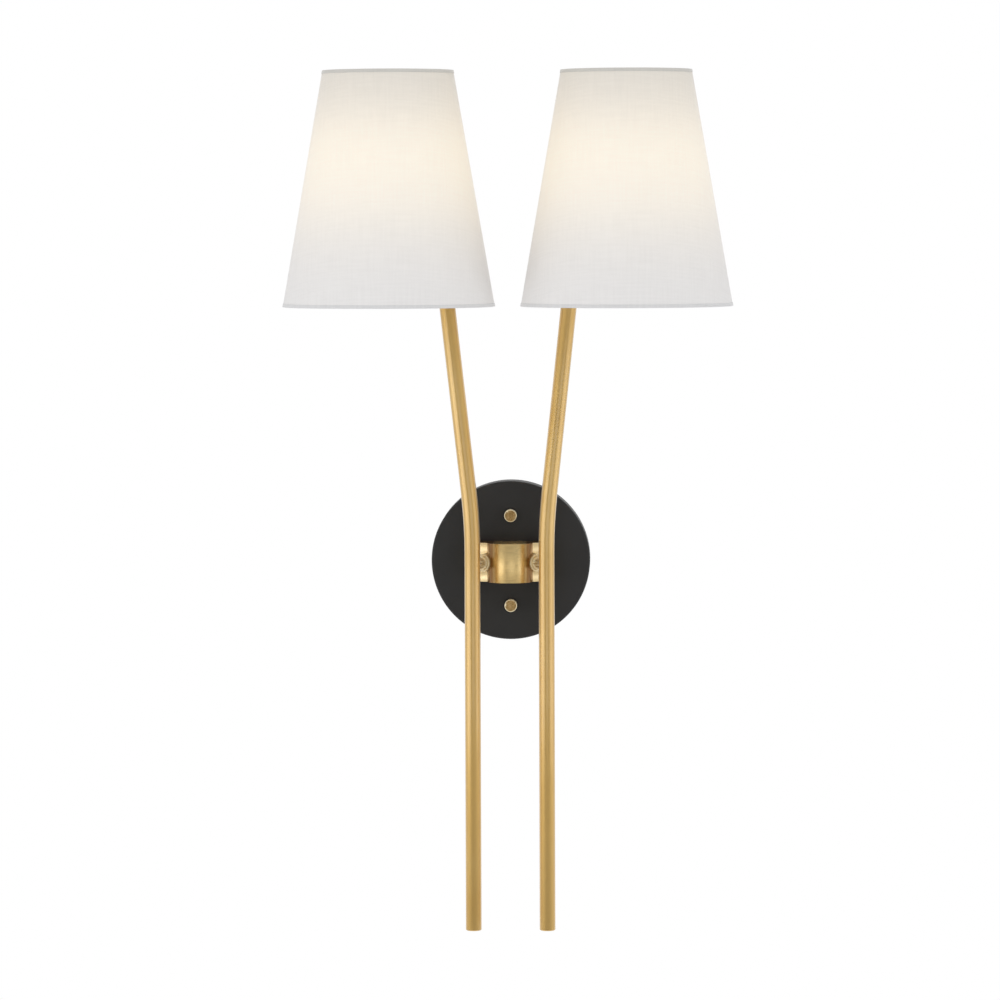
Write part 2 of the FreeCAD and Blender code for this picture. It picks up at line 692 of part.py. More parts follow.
# ---- wiring ----------------------------------------------------------------------------------
# Each lead runs from its connector in the wall plate through the grommet, the hub, the hollow
# nipple and the arm to its socket.  Live leads take the upper connector and the near side of the
# arm's bore, neutral leads the lower connector and the far side.
def lead_route(side, live):
    level = 1 if live else -1
    foot, direction = boss_axis(side)
    seat = foot - direction * boss_seat_sink
    gate_x = side * lead_half_pitch
    gate_z = level * lead_half_pitch
    mouth_z = level * (connector_mouth_z + connector_mouth_depth)
    nipple_rear = seat - direction * (boss_web + nipple_tail)
    lift = V(0, 0, gate_z)
    along = direction * (-level * lead_arm_offset)
    in_arm = arm_points(side, along)
    turn_up = V(in_arm[0].x, in_arm[0].y, gate_z)
    points = [V(gate_x, -connector_off_wall, mouth_z),
              V(gate_x, -connector_off_wall, gate_z),
              V(gate_x, plate_front_y - lead_bend / 2, gate_z),
              nipple_rear - direction * lead_bend / 2 + lift,
              turn_up] + in_arm[1:4] + [V(in_arm[4].x, in_arm[4].y, body_floor_z)]
    near = lead_arm_offset + lead_d / 2
    radii = [lead_bend, lead_bend, lead_bend]
    radii += [arm_bore_r - near - nipple_into_arm / 2 if live else arm_bore_r - nipple_into_arm]
    radii += arm_radii
    return points, radii


def make_leads(name, side):
    for lead, live in (("live_lead_", True), ("neutral_lead_", False)):
        points, radii = lead_route(side, live)
        save(lead + name, swept_rod(points, radii, lead_d / 2))


def make_connectors():
    connectors = []
    for level in (1, -1):
        mouth = V(0, -connector_off_wall, level * connector_mouth_z)
        direction = V(0, 0, level)
        cap = turned_along([(0, 0), (connector_d / 2, 0), (connector_d / 2, connector_skirt_len),
                            (connector_tip_d / 2, connector_len), (0, connector_len)], mouth, direction)
        connectors.append(cap.cut(rod(connector_mouth_d / 2, connector_mouth_depth, mouth, direction)))
    save("wire_connectors", *connectors)


def make_ground_lead():
    y = bracket_front_y - lead_d / 2
    start = V(ground_screw_x + ground_screw_d / 2 + lead_d / 2 + thread_fit, y, ground_screw_z)
    washer_y = plate_inner_y + hub_washer_t
    end = V(-hub_screw_x + hub_screw_head_d / 2 + lead_d / 2 + thread_fit, washer_y + lead_d / 2, 0)
    points = [start, V(start.x, y, start.z / 2), V(end.x, (y + end.y) / 2, start.z / 4),
              V(end.x, end.y, 0)]
    save("ground_lead", swept_rod(points, [lead_bend, lead_bend], lead_d / 2))


make_bracket()
make_studs()
make_ground_screw()
make_backplate()
make_grommet()
make_cap_nuts()
make_hub()
make_hub_screws()
make_connectors()
make_ground_lead()
for side_name, side_sign in (("left", -1), ("right", 1)):
    make_boss(side_name, side_sign)
    make_arm(side_name, side_sign)
    make_leads(side_name, side_sign)
    make_socket(side_name, side_sign)
    make_shade_ring(side_name, side_sign)
    make_shade(side_name, side_sign)
    make_bulb(side_name, side_sign)
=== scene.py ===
import bpy
import json
import math
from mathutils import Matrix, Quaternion, Vector


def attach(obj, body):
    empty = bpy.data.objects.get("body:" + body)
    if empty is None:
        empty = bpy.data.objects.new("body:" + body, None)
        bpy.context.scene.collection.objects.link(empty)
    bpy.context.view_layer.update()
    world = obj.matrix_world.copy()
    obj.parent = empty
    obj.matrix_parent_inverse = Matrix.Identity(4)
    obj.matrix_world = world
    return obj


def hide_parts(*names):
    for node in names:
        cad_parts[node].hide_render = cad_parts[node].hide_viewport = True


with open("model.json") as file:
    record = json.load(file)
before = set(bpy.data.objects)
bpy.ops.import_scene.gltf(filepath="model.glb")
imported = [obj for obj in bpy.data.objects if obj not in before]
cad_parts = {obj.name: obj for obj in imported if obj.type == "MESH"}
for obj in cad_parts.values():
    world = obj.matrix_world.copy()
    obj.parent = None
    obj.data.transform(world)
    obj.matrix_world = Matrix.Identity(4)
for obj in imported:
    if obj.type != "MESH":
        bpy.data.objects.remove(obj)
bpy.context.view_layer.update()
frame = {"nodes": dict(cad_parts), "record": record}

SIDES = (("left", -1), ("right", 1))
MM = 0.001

# Sizes that scene pieces share with the solids, in metres.
SHADE_X = 0.09045
SHADE_Y = -0.097
SHADE_FOOT = 0.19835
SHADE_TOP = 0.37765
SHADE_FOOT_R = 0.081
SHADE_TOP_R = 0.050
BULB_NECK_Z = 0.283
BULB_ROUND_Z = 0.312
HUB_ROOT_X = 17.7 * MM
NUT_Z = 34.925 * MM
NUT_DISH_R = 3.61 * MM

# Cloth of the shades: the skin, the lap at the back and the rim tapes.
SKIN_INSET = 0.35 * MM
SKIN_T = 0.6 * MM
SEAM_W = 13 * MM
SEAM_PROUD = 0.25 * MM
SEAM_SUNK = 0.1 * MM
TAPE_H = 2.6 * MM
TAPE_TURN = 0.3 * MM
TAPE_WRAP = 1.52 * MM
TAPE_ROUND = 0.4 * MM
CONE_SIDES = 192
CLOTH_SMOOTH_DEG = 40
TAPE_FOLD_DEG = 50

# The weave: threads and slubs, how much more the slubs count, and the span of the two together.
THREAD_PITCH = 0.9 * MM
SLUB_SIZE = 1.6 * MM
SLUB_WEIGHT = 1.5
WEAVE_LOW, WEAVE_HIGH = 1.6, 3.4

# The brass.  The hub's bulge is darkened between two distances from its middle, as painted shade
# at its roots.  The faces of its softened edges, which get a painted highlight, are picked by how far
# they look up or down, a nut's face by how far it looks forward.
ROOT_SHADE_FROM = 11.0 * MM
ROOT_SHADE_TO = 13.5 * MM
HUB_EDGE = 0.45 * MM
EDGE_HIGHLIGHT_TILT = (0.25, 0.97)
NUT_FACE_TILT = -0.9
BRASS_SMOOTH_DEG = 35
FLAT_DEG = 0.3
WELD_GAP = 0.002 * MM

# The bulb's glow at its neck and in its round part.
BULB_GLOW = (1.0, 3.2)

# Floor and room: how white the floor shows, the room's light, and how bright gloss shows its front.
FLOOR_PLACE = (0, -0.1, -1.0)
FLOOR_R = 0.7
FLOOR_SIDES = 96
FLOOR_WHITE = 0.8
ROOM_LEVEL = 0.85
ROOM_GLOSS = 0.36

# Where the lamps aim, and how much of its own height each one adds to that.
LAMP_AIM = Vector((0, -0.07, 0))
LAMP_AIM_RISE = 0.3

# The camera, worked out from the photograph.
CAMERA_PLACE = (0.0929, -4.009, 0.27255)
CAMERA_AIM = (-0.025383, 1, -0.05667)
CAMERA_ROLL_DEG = -0.2
CAMERA_LENS_MM = 185.2
CAMERA_SENSOR_MM = 36

# Places of a Mix node's sockets, first for colours, then for numbers.
MIX_SHARE, MIX_A, MIX_B, MIXED = 0, 6, 7, 2
NUMBER_A, NUMBER_B, NUMBER_MIXED = 2, 3, 0
# The span that most values of a noise lie in: for slow drift, and a wider one for grain.
DRIFT_LOW, DRIFT_HIGH = 0.35, 0.65
GRAIN_LOW, GRAIN_HIGH = 0.3, 0.7
# A wave texture makes this many radians of wave per unit at a scale of 1.
WAVE_RADIANS = 20
# Plain white light.
WHITE = (1, 1, 1, 1)


# ---- colours and nodes ---------------------------------------------------------------------------
def linear(text):
    """Linear RGBA of an sRGB hex value."""
    parts = [int(text[i:i + 2], 16) / 255 for i in (1, 3, 5)]
    return [c / 12.92 if c <= 0.04045 else ((c + 0.055) / 1.055) ** 2.4 for c in parts] + [1.0]


def add(tree, kind, sockets=None, **settings):
    """Adds a node, sets its settings, and fills its sockets with values or links."""
    node = tree.nodes.new("ShaderNode" + kind)
    for name, value in settings.items():
        setattr(node, name, value)
    for name, value in (sockets or {}).items():
        if isinstance(value, bpy.types.NodeSocket):
            tree.links.new(value, node.inputs[name])
        else:
            node.inputs[name].default_value = value
    return node


def blank(name):
    """A new material with an empty node tree."""
    material = bpy.data.materials.new(name)
    material.use_nodes = True
    material.node_tree.nodes.clear()
    return material, material.node_tree


def fill_ramp(node, stops):
    """Sets a colour ramp's stops from (place, sRGB hex) pairs."""
    ramp = node.color_ramp
    ramp.interpolation = "B_SPLINE"
    while len(ramp.elements) < len(stops):
        ramp.elements.new(0.5)
    for stop, (where, colour) in zip(ramp.elements, stops):
        stop.position = where
        stop.color = linear(colour)


def surface(name, colours, tone_mm, grain_mm, rough, relief_mm, stretch=(1, 1, 1), streak=0.0,
            **sockets):
    """A finish with two tones drifting over tone_mm, and a grain of grain_mm in roughness and relief.

    The grain is drawn out along an axis whose stretch is small.  streak is how strongly it darkens
    the colour.
    """
    material, tree = blank(name)
    place = add(tree, "TexCoord").outputs["Object"]
    drift = add(tree, "TexNoise", {"Vector": place, "Scale": 1 / (tone_mm * MM), "Detail": 2.0})
    along = add(tree, "Mapping", {"Vector": place, "Scale": stretch})
    grain = add(tree, "TexNoise", {"Vector": along.outputs["Vector"], "Scale": 1 / (grain_mm * MM),
                                   "Detail": 3.0, "Roughness": 0.55})
    share = add(tree, "MapRange", {"Value": drift.outputs["Fac"], "From Min": DRIFT_LOW,
                                   "From Max": DRIFT_HIGH})
    tone = add(tree, "Mix", {MIX_SHARE: share.outputs["Result"], MIX_A: linear(colours[0]),
                             MIX_B: linear(colours[1])}, data_type="RGBA")
    dark = [c * (1 - streak) for c in linear(colours[0])[:3]] + [1.0]
    line = add(tree, "MapRange", {"Value": grain.outputs["Fac"], "From Min": GRAIN_LOW,
                                  "From Max": GRAIN_HIGH, "To Min": streak, "To Max": 0.0})
    colour = add(tree, "Mix", {MIX_SHARE: line.outputs["Result"], MIX_A: tone.outputs[MIXED],
                               MIX_B: dark}, data_type="RGBA")
    gloss = add(tree, "MapRange", {"Value": grain.outputs["Fac"], "From Min": GRAIN_LOW,
                                   "From Max": GRAIN_HIGH, "To Min": rough[0], "To Max": rough[1]})
    relief = add(tree, "Bump", {"Height": grain.outputs["Fac"], "Distance": relief_mm * MM,
                                "Strength": 0.5})
    shader = add(tree, "BsdfPrincipled", {"Base Color": colour.outputs[MIXED],
                                          "Roughness": gloss.outputs["Result"],
                                          "Normal": relief.outputs["Normal"], **sockets})
    add(tree, "OutputMaterial", {"Surface": shader.outputs["BSDF"]})
    return material


def paint_root_shade(material):
    """Painted shade: browner brass near both roots of the hub's bulge, standing in for the dark
    reflection of the arms there.
    """
    tree = material.node_tree
    shader = next(node for node in tree.nodes if node.type == "BSDF_PRINCIPLED")
    brushed = shader.inputs["Base Color"].links[0].from_socket
    place = add(tree, "TexCoord").outputs["Object"]
    across = add(tree, "SeparateXYZ", {"Vector": place}).outputs["X"]
    aside = add(tree, "Math", {0: across}, operation="ABSOLUTE")
    share = add(tree, "MapRange", {"Value": aside.outputs["Value"], "From Min": ROOT_SHADE_FROM,
                                   "From Max": ROOT_SHADE_TO})
    root_shade = add(tree, "Mix", {MIX_SHARE: share.outputs["Result"], MIX_A: brushed,
                              MIX_B: linear("#94682C")}, data_type="RGBA")
    tree.links.new(root_shade.outputs[MIXED], shader.inputs["Base Color"])


# Metal under clear lacquer: the satin brass, the bosses and the hub's shoulders.
LACQUER = {"Metallic": 1.0, "Coat Weight": 1.0, "Coat Roughness": 0.15, "Coat IOR": 1.7}
# Satin brass tube, brushed lengthwise: warm straw gold with fine upright lines and long soft
# highlights.  Real lines are about 0.1 mm wide; they are drawn 0.45 mm wide so that they show.
satin_brass = surface("satin_brass", ("#DAB05C", "#E2BB6A"), 70, 0.45, (0.38, 0.5), 0.03,
                      stretch=(1, 1, 0.02), streak=0.2, **LACQUER,
                      **{"Sheen Weight": 0.5, "Sheen Roughness": 0.35})
# The hub's bulge, brushed across: a paler gold with level lines, under a thin coat.
linished_brass = surface("linished_brass", ("#F5D28C", "#FBDE9C"), 30, 1.1, (0.28, 0.42), 0.05,
                         stretch=(0.04, 1, 1), streak=0.38, Metallic=1.0,
                         **{"Coat Weight": 0.5, "Coat Roughness": 0.15})
# Painted shade at the roots of the bulge.
paint_root_shade(linished_brass)
# The hub's sloping shoulders, blasted fine: pale, with no lines.  Their pale tone is partly a painted
# highlight.
blasted_brass = surface("blasted_brass", ("#F2D59A", "#F6DDA6"), 12, 0.35, (0.34, 0.44), 0.03,
                        **LACQUER)
# Turned brass of the bosses: pale gold with an even, soft sheen.  The pale tone is partly a painted
# highlight, lightening them where the arms shade them.
turned_brass = surface("turned_brass", ("#F6E0AC", "#FBE9BC"), 8, 0.5, (0.46, 0.56), 0.006,
                       streak=0.04, **LACQUER)
# The plate nuts: a turned rim, lightened as a painted highlight, round a darker, sanded face.  The
# hub's softened edges get the same painted highlight.
highlight_brass = surface("highlight_brass", ("#FBEFC8", "#FFF4D4"), 6, 0.3, (0.38, 0.5), 0.01, Metallic=0.4)
sanded_brass = surface("sanded_brass", ("#B5935C", "#E3C48C"), 1.4, 0.45, (0.42, 0.6), 0.05,
                       streak=0.5, Metallic=1.0)
# Machined brass, bare: paler and glossier than the tubes, with turning marks round it.
machined_brass = surface("machined_brass", ("#D0B077", "#C7A469"), 15, 0.3, (0.2, 0.32), 0.02,
                         stretch=(0.05, 0.05, 1), streak=0.2, Metallic=1.0)
# Matte black powder coat on spun steel: near-black with a fine orange-peel grain.
powder_coat = surface("powder_coat", ("#272727", "#2B2B2B"), 30, 0.5, (0.46, 0.56), 0.05,
                      **{"Specular IOR Level": 0.35})
# Zinc-plated steel: cool light grey, slightly cloudy.
zinc_plate = surface("zinc_plate", ("#B4B7B9", "#ADB0B1"), 14, 0.5, (0.34, 0.46), 0.02, streak=0.12,
                     Metallic=1.0)
# Green-dyed zinc on the ground screw.
green_zinc = surface("green_zinc", ("#3E8A52", "#357A48"), 4, 0.5, (0.3, 0.4), 0.02, Metallic=0.7)
# Flexible PVC insulation: evenly coloured, softly glossy.
black_pvc = surface("black_pvc", ("#1B1B1C", "#202021"), 12, 0.6, (0.34, 0.42), 0.02)
white_pvc = surface("white_pvc", ("#E4E3DE", "#DAD9D3"), 12, 0.6, (0.34, 0.42), 0.02)
green_pvc = surface("green_pvc", ("#1F7A3C", "#1B6E36"), 12, 0.6, (0.34, 0.42), 0.02)
# Moulded EPDM rubber: dull dark grey with a dry, dusty grain.
epdm_rubber = surface("epdm_rubber", ("#222222", "#2A2A2A"), 6, 0.4, (0.72, 0.85), 0.04)
# Moulded nylon washer: dense black with a faint sheen.
nylon = surface("nylon", ("#17171A", "#1C1C1F"), 5, 0.5, (0.42, 0.5), 0.02)
# Moulded polypropylene connector: flat orange with a fine spark-eroded grain.
polypropylene = surface("polypropylene", ("#E07A1E", "#D97218"), 8, 0.4, (0.48, 0.58), 0.04)
# Moulded phenolic: deep brown-black with cloudy filler and a soft gloss.
phenolic = surface("phenolic", ("#241F1C", "#1B1816"), 5, 0.7, (0.3, 0.42), 0.02)
# Vulcanised fibre: brick red, dry and slightly fibrous.
vulcanised_fibre = surface("vulcanised_fibre", ("#8C3A2E", "#7D3228"), 4, 0.3, (0.6, 0.75), 0.03)
# Epoxy-coated steel wire: clean white, slightly uneven where the coat has run.
coated_wire = surface("coated_wire", ("#E9E8E4", "#DEDDD8"), 9, 1.2, (0.3, 0.42), 0.04)
# Black glass insulator at the bulb's contact.
glass_insulator = surface("glass_insulator", ("#141519", "#1B1C20"), 3, 0.6, (0.12, 0.2), 0.01)
# Nickel-plated lamp base: warm silver, rolled thread, lightly scuffed.
nickel_plate = surface("nickel_plate", ("#C9C5BC", "#BDB9B0"), 5, 0.4, (0.2, 0.34), 0.02, streak=0.15,
                       Metallic=1.0)


# ---- shade cloth ---------------------------------------------------------------------------------
def shade_cloth(name, colours, glow, through):
    """Fine plain-woven linen look: off-white threads with slubs, with painted warmth and a painted
    glow where the lamp is near.

    The threads run on the piece's own UV map, in metres along the unrolled cone.  Real threads lie
    0.45 mm apart; they are drawn 0.9 mm apart so that they show.  glow is how bright the painted light
    of the lamp is in the cloth, as emission; through is how much light passes.
    """
    material, tree = blank(name)
    cloth = add(tree, "UVMap", uv_map="weave").outputs["UV"]
    place = add(tree, "TexCoord").outputs["Object"]
    threads = []
    for direction, stretch in (("X", (1, 0.06, 1)), ("Y", (0.06, 1, 1))):
        wave = add(tree, "TexWave", {"Vector": cloth,
                                     "Scale": math.tau / (WAVE_RADIANS * THREAD_PITCH),
                                     "Distortion": 0.6, "Detail": 1.0, "Detail Scale": 0.4},
                   wave_type="BANDS", bands_direction=direction)
        run = add(tree, "Mapping", {"Vector": cloth, "Scale": stretch})
        slub = add(tree, "TexNoise", {"Vector": run.outputs["Vector"], "Scale": 1 / SLUB_SIZE,
                                      "Detail": 2.0})
        threads.append((wave.outputs["Fac"], slub.outputs["Fac"]))
    weave = add(tree, "Math", {0: threads[0][0], 1: threads[1][0]}, operation="ADD")
    slubs = add(tree, "Math", {0: threads[0][1], 1: threads[1][1]}, operation="ADD")
    height = add(tree, "Math", {0: slubs.outputs["Value"], 1: SLUB_WEIGHT,
                                2: weave.outputs["Value"]}, operation="MULTIPLY_ADD")
    share = add(tree, "MapRange", {"Value": height.outputs["Value"], "From Min": WEAVE_LOW,
                                   "From Max": WEAVE_HIGH})
    woven = add(tree, "Mix", {MIX_SHARE: share.outputs["Result"], MIX_A: linear(colours[0]),
                              MIX_B: linear(colours[1])}, data_type="RGBA")
    # Painted light: seen against the lamp the cloth turns cream in the middle and beige at the top,
    # painted as a tint by height.
    up = add(tree, "SeparateXYZ", {"Vector": place}).outputs["Z"]
    level = add(tree, "MapRange", {"Value": up, "From Min": SHADE_FOOT, "From Max": SHADE_TOP})
    painted_warmth = add(tree, "ValToRGB", {"Fac": level.outputs["Result"]})
    fill_ramp(painted_warmth, ((0.0, "#FFFEFE"), (0.25, "#FFFDFC"), (0.45, "#FFFCF7"), (0.62, "#FFFCF6"),
                       (0.85, "#FFFAF2"), (1.0, "#FCF7EE")))
    colour = add(tree, "Mix", {MIX_SHARE: 1.0, MIX_A: woven.outputs[MIXED],
                               MIX_B: painted_warmth.outputs["Color"]},
                 data_type="RGBA", blend_type="MULTIPLY")
    relief = add(tree, "Bump", {"Height": height.outputs["Value"], "Distance": 0.06 * MM,
                                "Strength": 0.4})
    # Painted light: the lamp's glow in the cloth as emission, strongest at the bulb's height, fading
    # to both rims.
    painted_glow = add(tree, "ValToRGB", {"Fac": level.outputs["Result"]})
    fill_ramp(painted_glow, ((0.0, "#141414"), (0.14, "#404040"), (0.29, "#949494"), (0.44, "#E2E2E2"),
                       (0.6, "#FFFFFF"), (0.73, "#F4F4F4"), (0.86, "#9C9C9C"), (1.0, "#000000")))
    strength = add(tree, "Math", {0: painted_glow.outputs["Color"], 1: glow}, operation="MULTIPLY")
    front = add(tree, "BsdfPrincipled", {
        "Base Color": colour.outputs[MIXED], "Roughness": 0.9, "Normal": relief.outputs["Normal"],
        "Sheen Weight": 0.7, "Sheen Roughness": 0.3, "Specular IOR Level": 0.25,
        "Emission Color": linear("#FFE9BA"), "Emission Strength": strength.outputs["Value"]})
    back = add(tree, "BsdfTranslucent", {"Color": linear("#FFFAF2"),
                                         "Normal": relief.outputs["Normal"]})
    both = add(tree, "MixShader", {"Fac": through, 1: front.outputs["BSDF"], 2: back.outputs["BSDF"]})
    add(tree, "OutputMaterial", {"Surface": both.outputs["Shader"]})
    return material


shade_linen = shade_cloth("shade_linen", ("#EAEAEA", "#F5F5F5"), glow=0.18, through=0.12)
# Where the cloth laps over itself, two layers hold back some of the light.
shade_lap = shade_cloth("shade_lap", ("#DFDEDC", "#ECEBE9"), glow=0.09, through=0.07)
# The rim tape is folded cloth over the hoop, a cooler grey because hardly any of the lamp's light
# gets through: painted shade.  The top tape is darker than the foot tape, also painted shade.
shade_tape = {"top": shade_cloth("shade_tape_top", ("#C8CACC", "#D7D9DB"), glow=0.0, through=0.02),
              "foot": shade_cloth("shade_tape_foot", ("#D3D4D5", "#E0E1E2"), glow=0.0, through=0.04)}


def styrene_sheet():
    """Thin white styrene behind the cloth: smooth, softly shiny, letting the lamp's light through."""
    material, tree = blank("styrene_sheet")
    place = add(tree, "TexCoord").outputs["Object"]
    cloudy = add(tree, "TexNoise", {"Vector": place, "Scale": 1 / (25 * MM), "Detail": 2.0})
    colour = add(tree, "Mix", {MIX_SHARE: cloudy.outputs["Fac"], MIX_A: linear("#F4F1EA"),
                               MIX_B: linear("#EDEAE2")}, data_type="RGBA")
    rolled = add(tree, "TexNoise", {"Vector": place, "Scale": 1 / (3 * MM)})
    relief = add(tree, "Bump", {"Height": rolled.outputs["Fac"], "Distance": 0.05 * MM,
                                "Strength": 0.2})
    front = add(tree, "BsdfPrincipled", {"Base Color": colour.outputs[MIXED], "Roughness": 0.42,
                                         "Normal": relief.outputs["Normal"]})
    back = add(tree, "BsdfTranslucent", {"Color": linear("#FFF6EA")})
    both = add(tree, "MixShader", {"Fac": 0.4, 1: front.outputs["BSDF"], 2: back.outputs["BSDF"]})
    add(tree, "OutputMaterial", {"Surface": both.outputs["Shader"]})
    return material


def frosted_glass():
    """Glass etched inside, lit: warm white, dimmer at the neck than in the round part."""
    material, tree = blank("frosted_glass")
    place = add(tree, "TexCoord").outputs["Object"]
    etched = add(tree, "TexNoise", {"Vector": place, "Scale": 1 / (0.8 * MM), "Detail": 2.0})
    colour = add(tree, "Mix", {MIX_SHARE: etched.outputs["Fac"], MIX_A: linear("#F6F3EC"),
                               MIX_B: linear("#FBFAF6")}, data_type="RGBA")
    level = add(tree, "SeparateXYZ", {"Vector": place}).outputs["Z"]
    bright = add(tree, "MapRange", {"Value": level, "From Min": BULB_NECK_Z,
                                    "From Max": BULB_ROUND_Z, "To Min": BULB_GLOW[0],
                                    "To Max": BULB_GLOW[1]})
    shader = add(tree, "BsdfPrincipled", {"Base Color": colour.outputs[MIXED], "Roughness": 0.35,
                                          "Coat Weight": 0.4, "Coat Roughness": 0.08,
                                          "Emission Color": linear("#FFDDB0"),
                                          "Emission Strength": bright.outputs["Result"]})
    add(tree, "OutputMaterial", {"Surface": shader.outputs["BSDF"]})
    return material


finishes = {
    "satin_brass": satin_brass,
    "plain_brass": machined_brass,
    "black_plate": powder_coat,
    "zinc_plated_steel": zinc_plate,
    "green_screw": green_zinc,
    "green_lead": green_pvc,
    "black_lead": black_pvc,
    "white_lead": white_pvc,
    "black_rubber": epdm_rubber,
    "black_nylon": nylon,
    "orange_connector": polypropylene,
    "phenolic": phenolic,
    "fibre_washer": vulcanised_fibre,
    "white_wire": coated_wire,
    "styrene_liner": styrene_sheet(),
    "shade_linen": shade_linen,
    "bulb_insulator": glass_insulator,
    "nickel_base": nickel_plate,
    "frosted_glass": frosted_glass(),
}
for part in frame["record"]["subparts"]:
    solid = frame["nodes"][part["node"]]
    solid.data.materials.clear()
    solid.data.materials.append(finishes[part["material_slot"]])


# ---- shades --------------------------------------------------------------------------------------
def shade_radius(height):
    """Outer radius of a shade's rim line at a height."""
    share = (height - SHADE_FOOT) / (SHADE_TOP - SHADE_FOOT)
    return SHADE_FOOT_R + (SHADE_TOP_R - SHADE_FOOT_R) * share


def unroll(mesh, centre):
    """UV map in metres along the cone laid flat, with its middle at the front."""
    taper = SHADE_FOOT_R - SHADE_TOP_R
    slope = taper / math.hypot(taper, SHADE_TOP - SHADE_FOOT)
    layer = mesh.uv_layers.get("weave") or mesh.uv_layers.new(name="weave")
    for face in mesh.polygons:
        turns = []
        for index in face.loop_indices:
            point = mesh.vertices[mesh.loops[index].vertex_index].co - centre
            turns.append(math.atan2(point.x, -point.y))
        if max(turns) - min(turns) > math.pi:
            turns = [t + math.tau if t < 0 else t for t in turns]
        for index, turn in zip(face.loop_indices, turns):
            height = mesh.vertices[mesh.loops[index].vertex_index].co.z
            reach = shade_radius(height) / slope
            layer.data[index].uv = (reach * math.sin(turn * slope), -reach * math.cos(turn * slope))


def seat(piece):
    """Puts the object's place into its mesh."""
    bpy.ops.object.select_all(action="DESELECT")
    piece.select_set(True)
    bpy.context.view_layer.objects.active = piece
    bpy.ops.object.transform_apply(location=True, rotation=True, scale=True)


def band(name, low, high, proud, thickness, centre, mid_ring=False, strip=None, round_edge=0):
    """A closed conical band of the shade, its outside proud of the rim line.

    mid_ring adds a ring of points halfway up.  With strip, only that half width in metres is
    kept, at the back.
    """
    middle = (low + high) / 2
    bpy.ops.object.select_all(action="DESELECT")
    bpy.ops.mesh.primitive_cone_add(vertices=CONE_SIDES, radius1=shade_radius(low) + proud,
                                    radius2=shade_radius(high) + proud, depth=high - low,
                                    end_fill_type="NOTHING", location=(centre.x, centre.y, middle))
    piece = bpy.context.object
    piece.name = piece.data.name = name
    bpy.ops.object.mode_set(mode="EDIT")
    bpy.ops.mesh.select_all(action="SELECT")
    if mid_ring:
        bpy.ops.mesh.bisect(plane_co=(centre.x, centre.y, middle), plane_no=(0, 0, 1))
    if strip:
        for offset, facing in ((-strip, -1), (strip, 1)):
            bpy.ops.mesh.select_all(action="SELECT")
            bpy.ops.mesh.bisect(plane_co=(centre.x + offset, centre.y, middle),
                                plane_no=(facing, 0, 0), clear_outer=True)
        bpy.ops.mesh.select_all(action="SELECT")
        bpy.ops.mesh.bisect(plane_co=(centre.x, centre.y, middle), plane_no=(0, -1, 0),
                            clear_outer=True)
    bpy.ops.object.mode_set(mode="OBJECT")
    wall = piece.modifiers.new("wall", "SOLIDIFY")
    wall.thickness = thickness
    wall.offset = -1
    bpy.ops.object.modifier_apply(modifier=wall.name)
    if round_edge:
        fold = piece.modifiers.new("fold", "BEVEL")
        fold.width = round_edge
        fold.segments = 3
        fold.limit_method = "ANGLE"
        fold.angle_limit = math.radians(TAPE_FOLD_DEG)
        bpy.ops.object.modifier_apply(modifier=fold.name)
    seat(piece)
    bpy.ops.object.shade_smooth_by_angle(angle=math.radians(CLOTH_SMOOTH_DEG))
    unroll(piece.data, centre)
    return piece


def dress_shade(side, sign):
    """The skin, the lap and the rim tapes of one shade."""
    centre = Vector((sign * SHADE_X, SHADE_Y, 0))
    foot = SHADE_FOOT + TAPE_TURN
    top = SHADE_TOP - TAPE_TURN
    skin = band("shade_skin_" + side, foot, top, -SKIN_INSET, SKIN_T, centre, mid_ring=True)
    skin.data.materials.append(shade_linen)
    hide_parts("shade_fabric_" + side)
    # The cloth's ends lap over each other at the back.
    seam = band("shade_seam_" + side, foot, top, SEAM_PROUD - SKIN_INSET, SEAM_PROUD + SEAM_SUNK,
                centre, strip=SEAM_W / 2)
    seam.data.materials.append(shade_lap)
    pieces = [skin, seam]
    for rim, low, high in (("top", SHADE_TOP - TAPE_H, SHADE_TOP),
                           ("foot", SHADE_FOOT, SHADE_FOOT + TAPE_H)):
        tape = band("shade_tape_%s_%s" % (rim, side), low, high, 0, TAPE_WRAP, centre,
                    round_edge=TAPE_ROUND)
        tape.data.materials.append(shade_tape[rim])
        pieces.append(tape)
    for piece in pieces:
        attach(piece, "shade_" + side)


for side, sign in SIDES:
    dress_shade(side, sign)


# ---- hub, bosses and plate nuts ------------------------------------------------------------------
def reworked(node, name, body, finish, soften=0):
    """A copy of a solid's mesh that takes its place, merged and, if asked, with softened edges."""
    solid = frame["nodes"][node]
    piece = bpy.data.objects.new(name, solid.data.copy())
    piece.data.name = name
    bpy.context.scene.collection.objects.link(piece)
    bpy.ops.object.select_all(action="DESELECT")
    piece.select_set(True)
    bpy.context.view_layer.objects.active = piece
    piece.data.materials.clear()
    piece.data.materials.append(finish)
    bpy.ops.object.mode_set(mode="EDIT")
    bpy.ops.mesh.select_all(action="SELECT")
    bpy.ops.mesh.remove_doubles(threshold=WELD_GAP)
    bpy.ops.mesh.dissolve_limited(angle_limit=math.radians(FLAT_DEG))
    bpy.ops.object.mode_set(mode="OBJECT")
    if soften:
        edge = piece.modifiers.new("edge", "BEVEL")
        edge.width = soften
        edge.segments = 2
        edge.limit_method = "ANGLE"
        edge.angle_limit = math.radians(BRASS_SMOOTH_DEG)
        bpy.ops.object.modifier_apply(modifier=edge.name)
    bpy.ops.object.shade_smooth_by_angle(angle=math.radians(BRASS_SMOOTH_DEG))
    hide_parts(node)
    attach(piece, body)
    return piece


def second_finish(piece, finish, chosen):
    """Gives the faces that chosen picks, by middle and normal, another finish."""
    piece.data.materials.append(finish)
    for face in piece.data.polygons:
        if chosen(face.center, face.normal):
            face.material_index = len(piece.data.materials) - 1


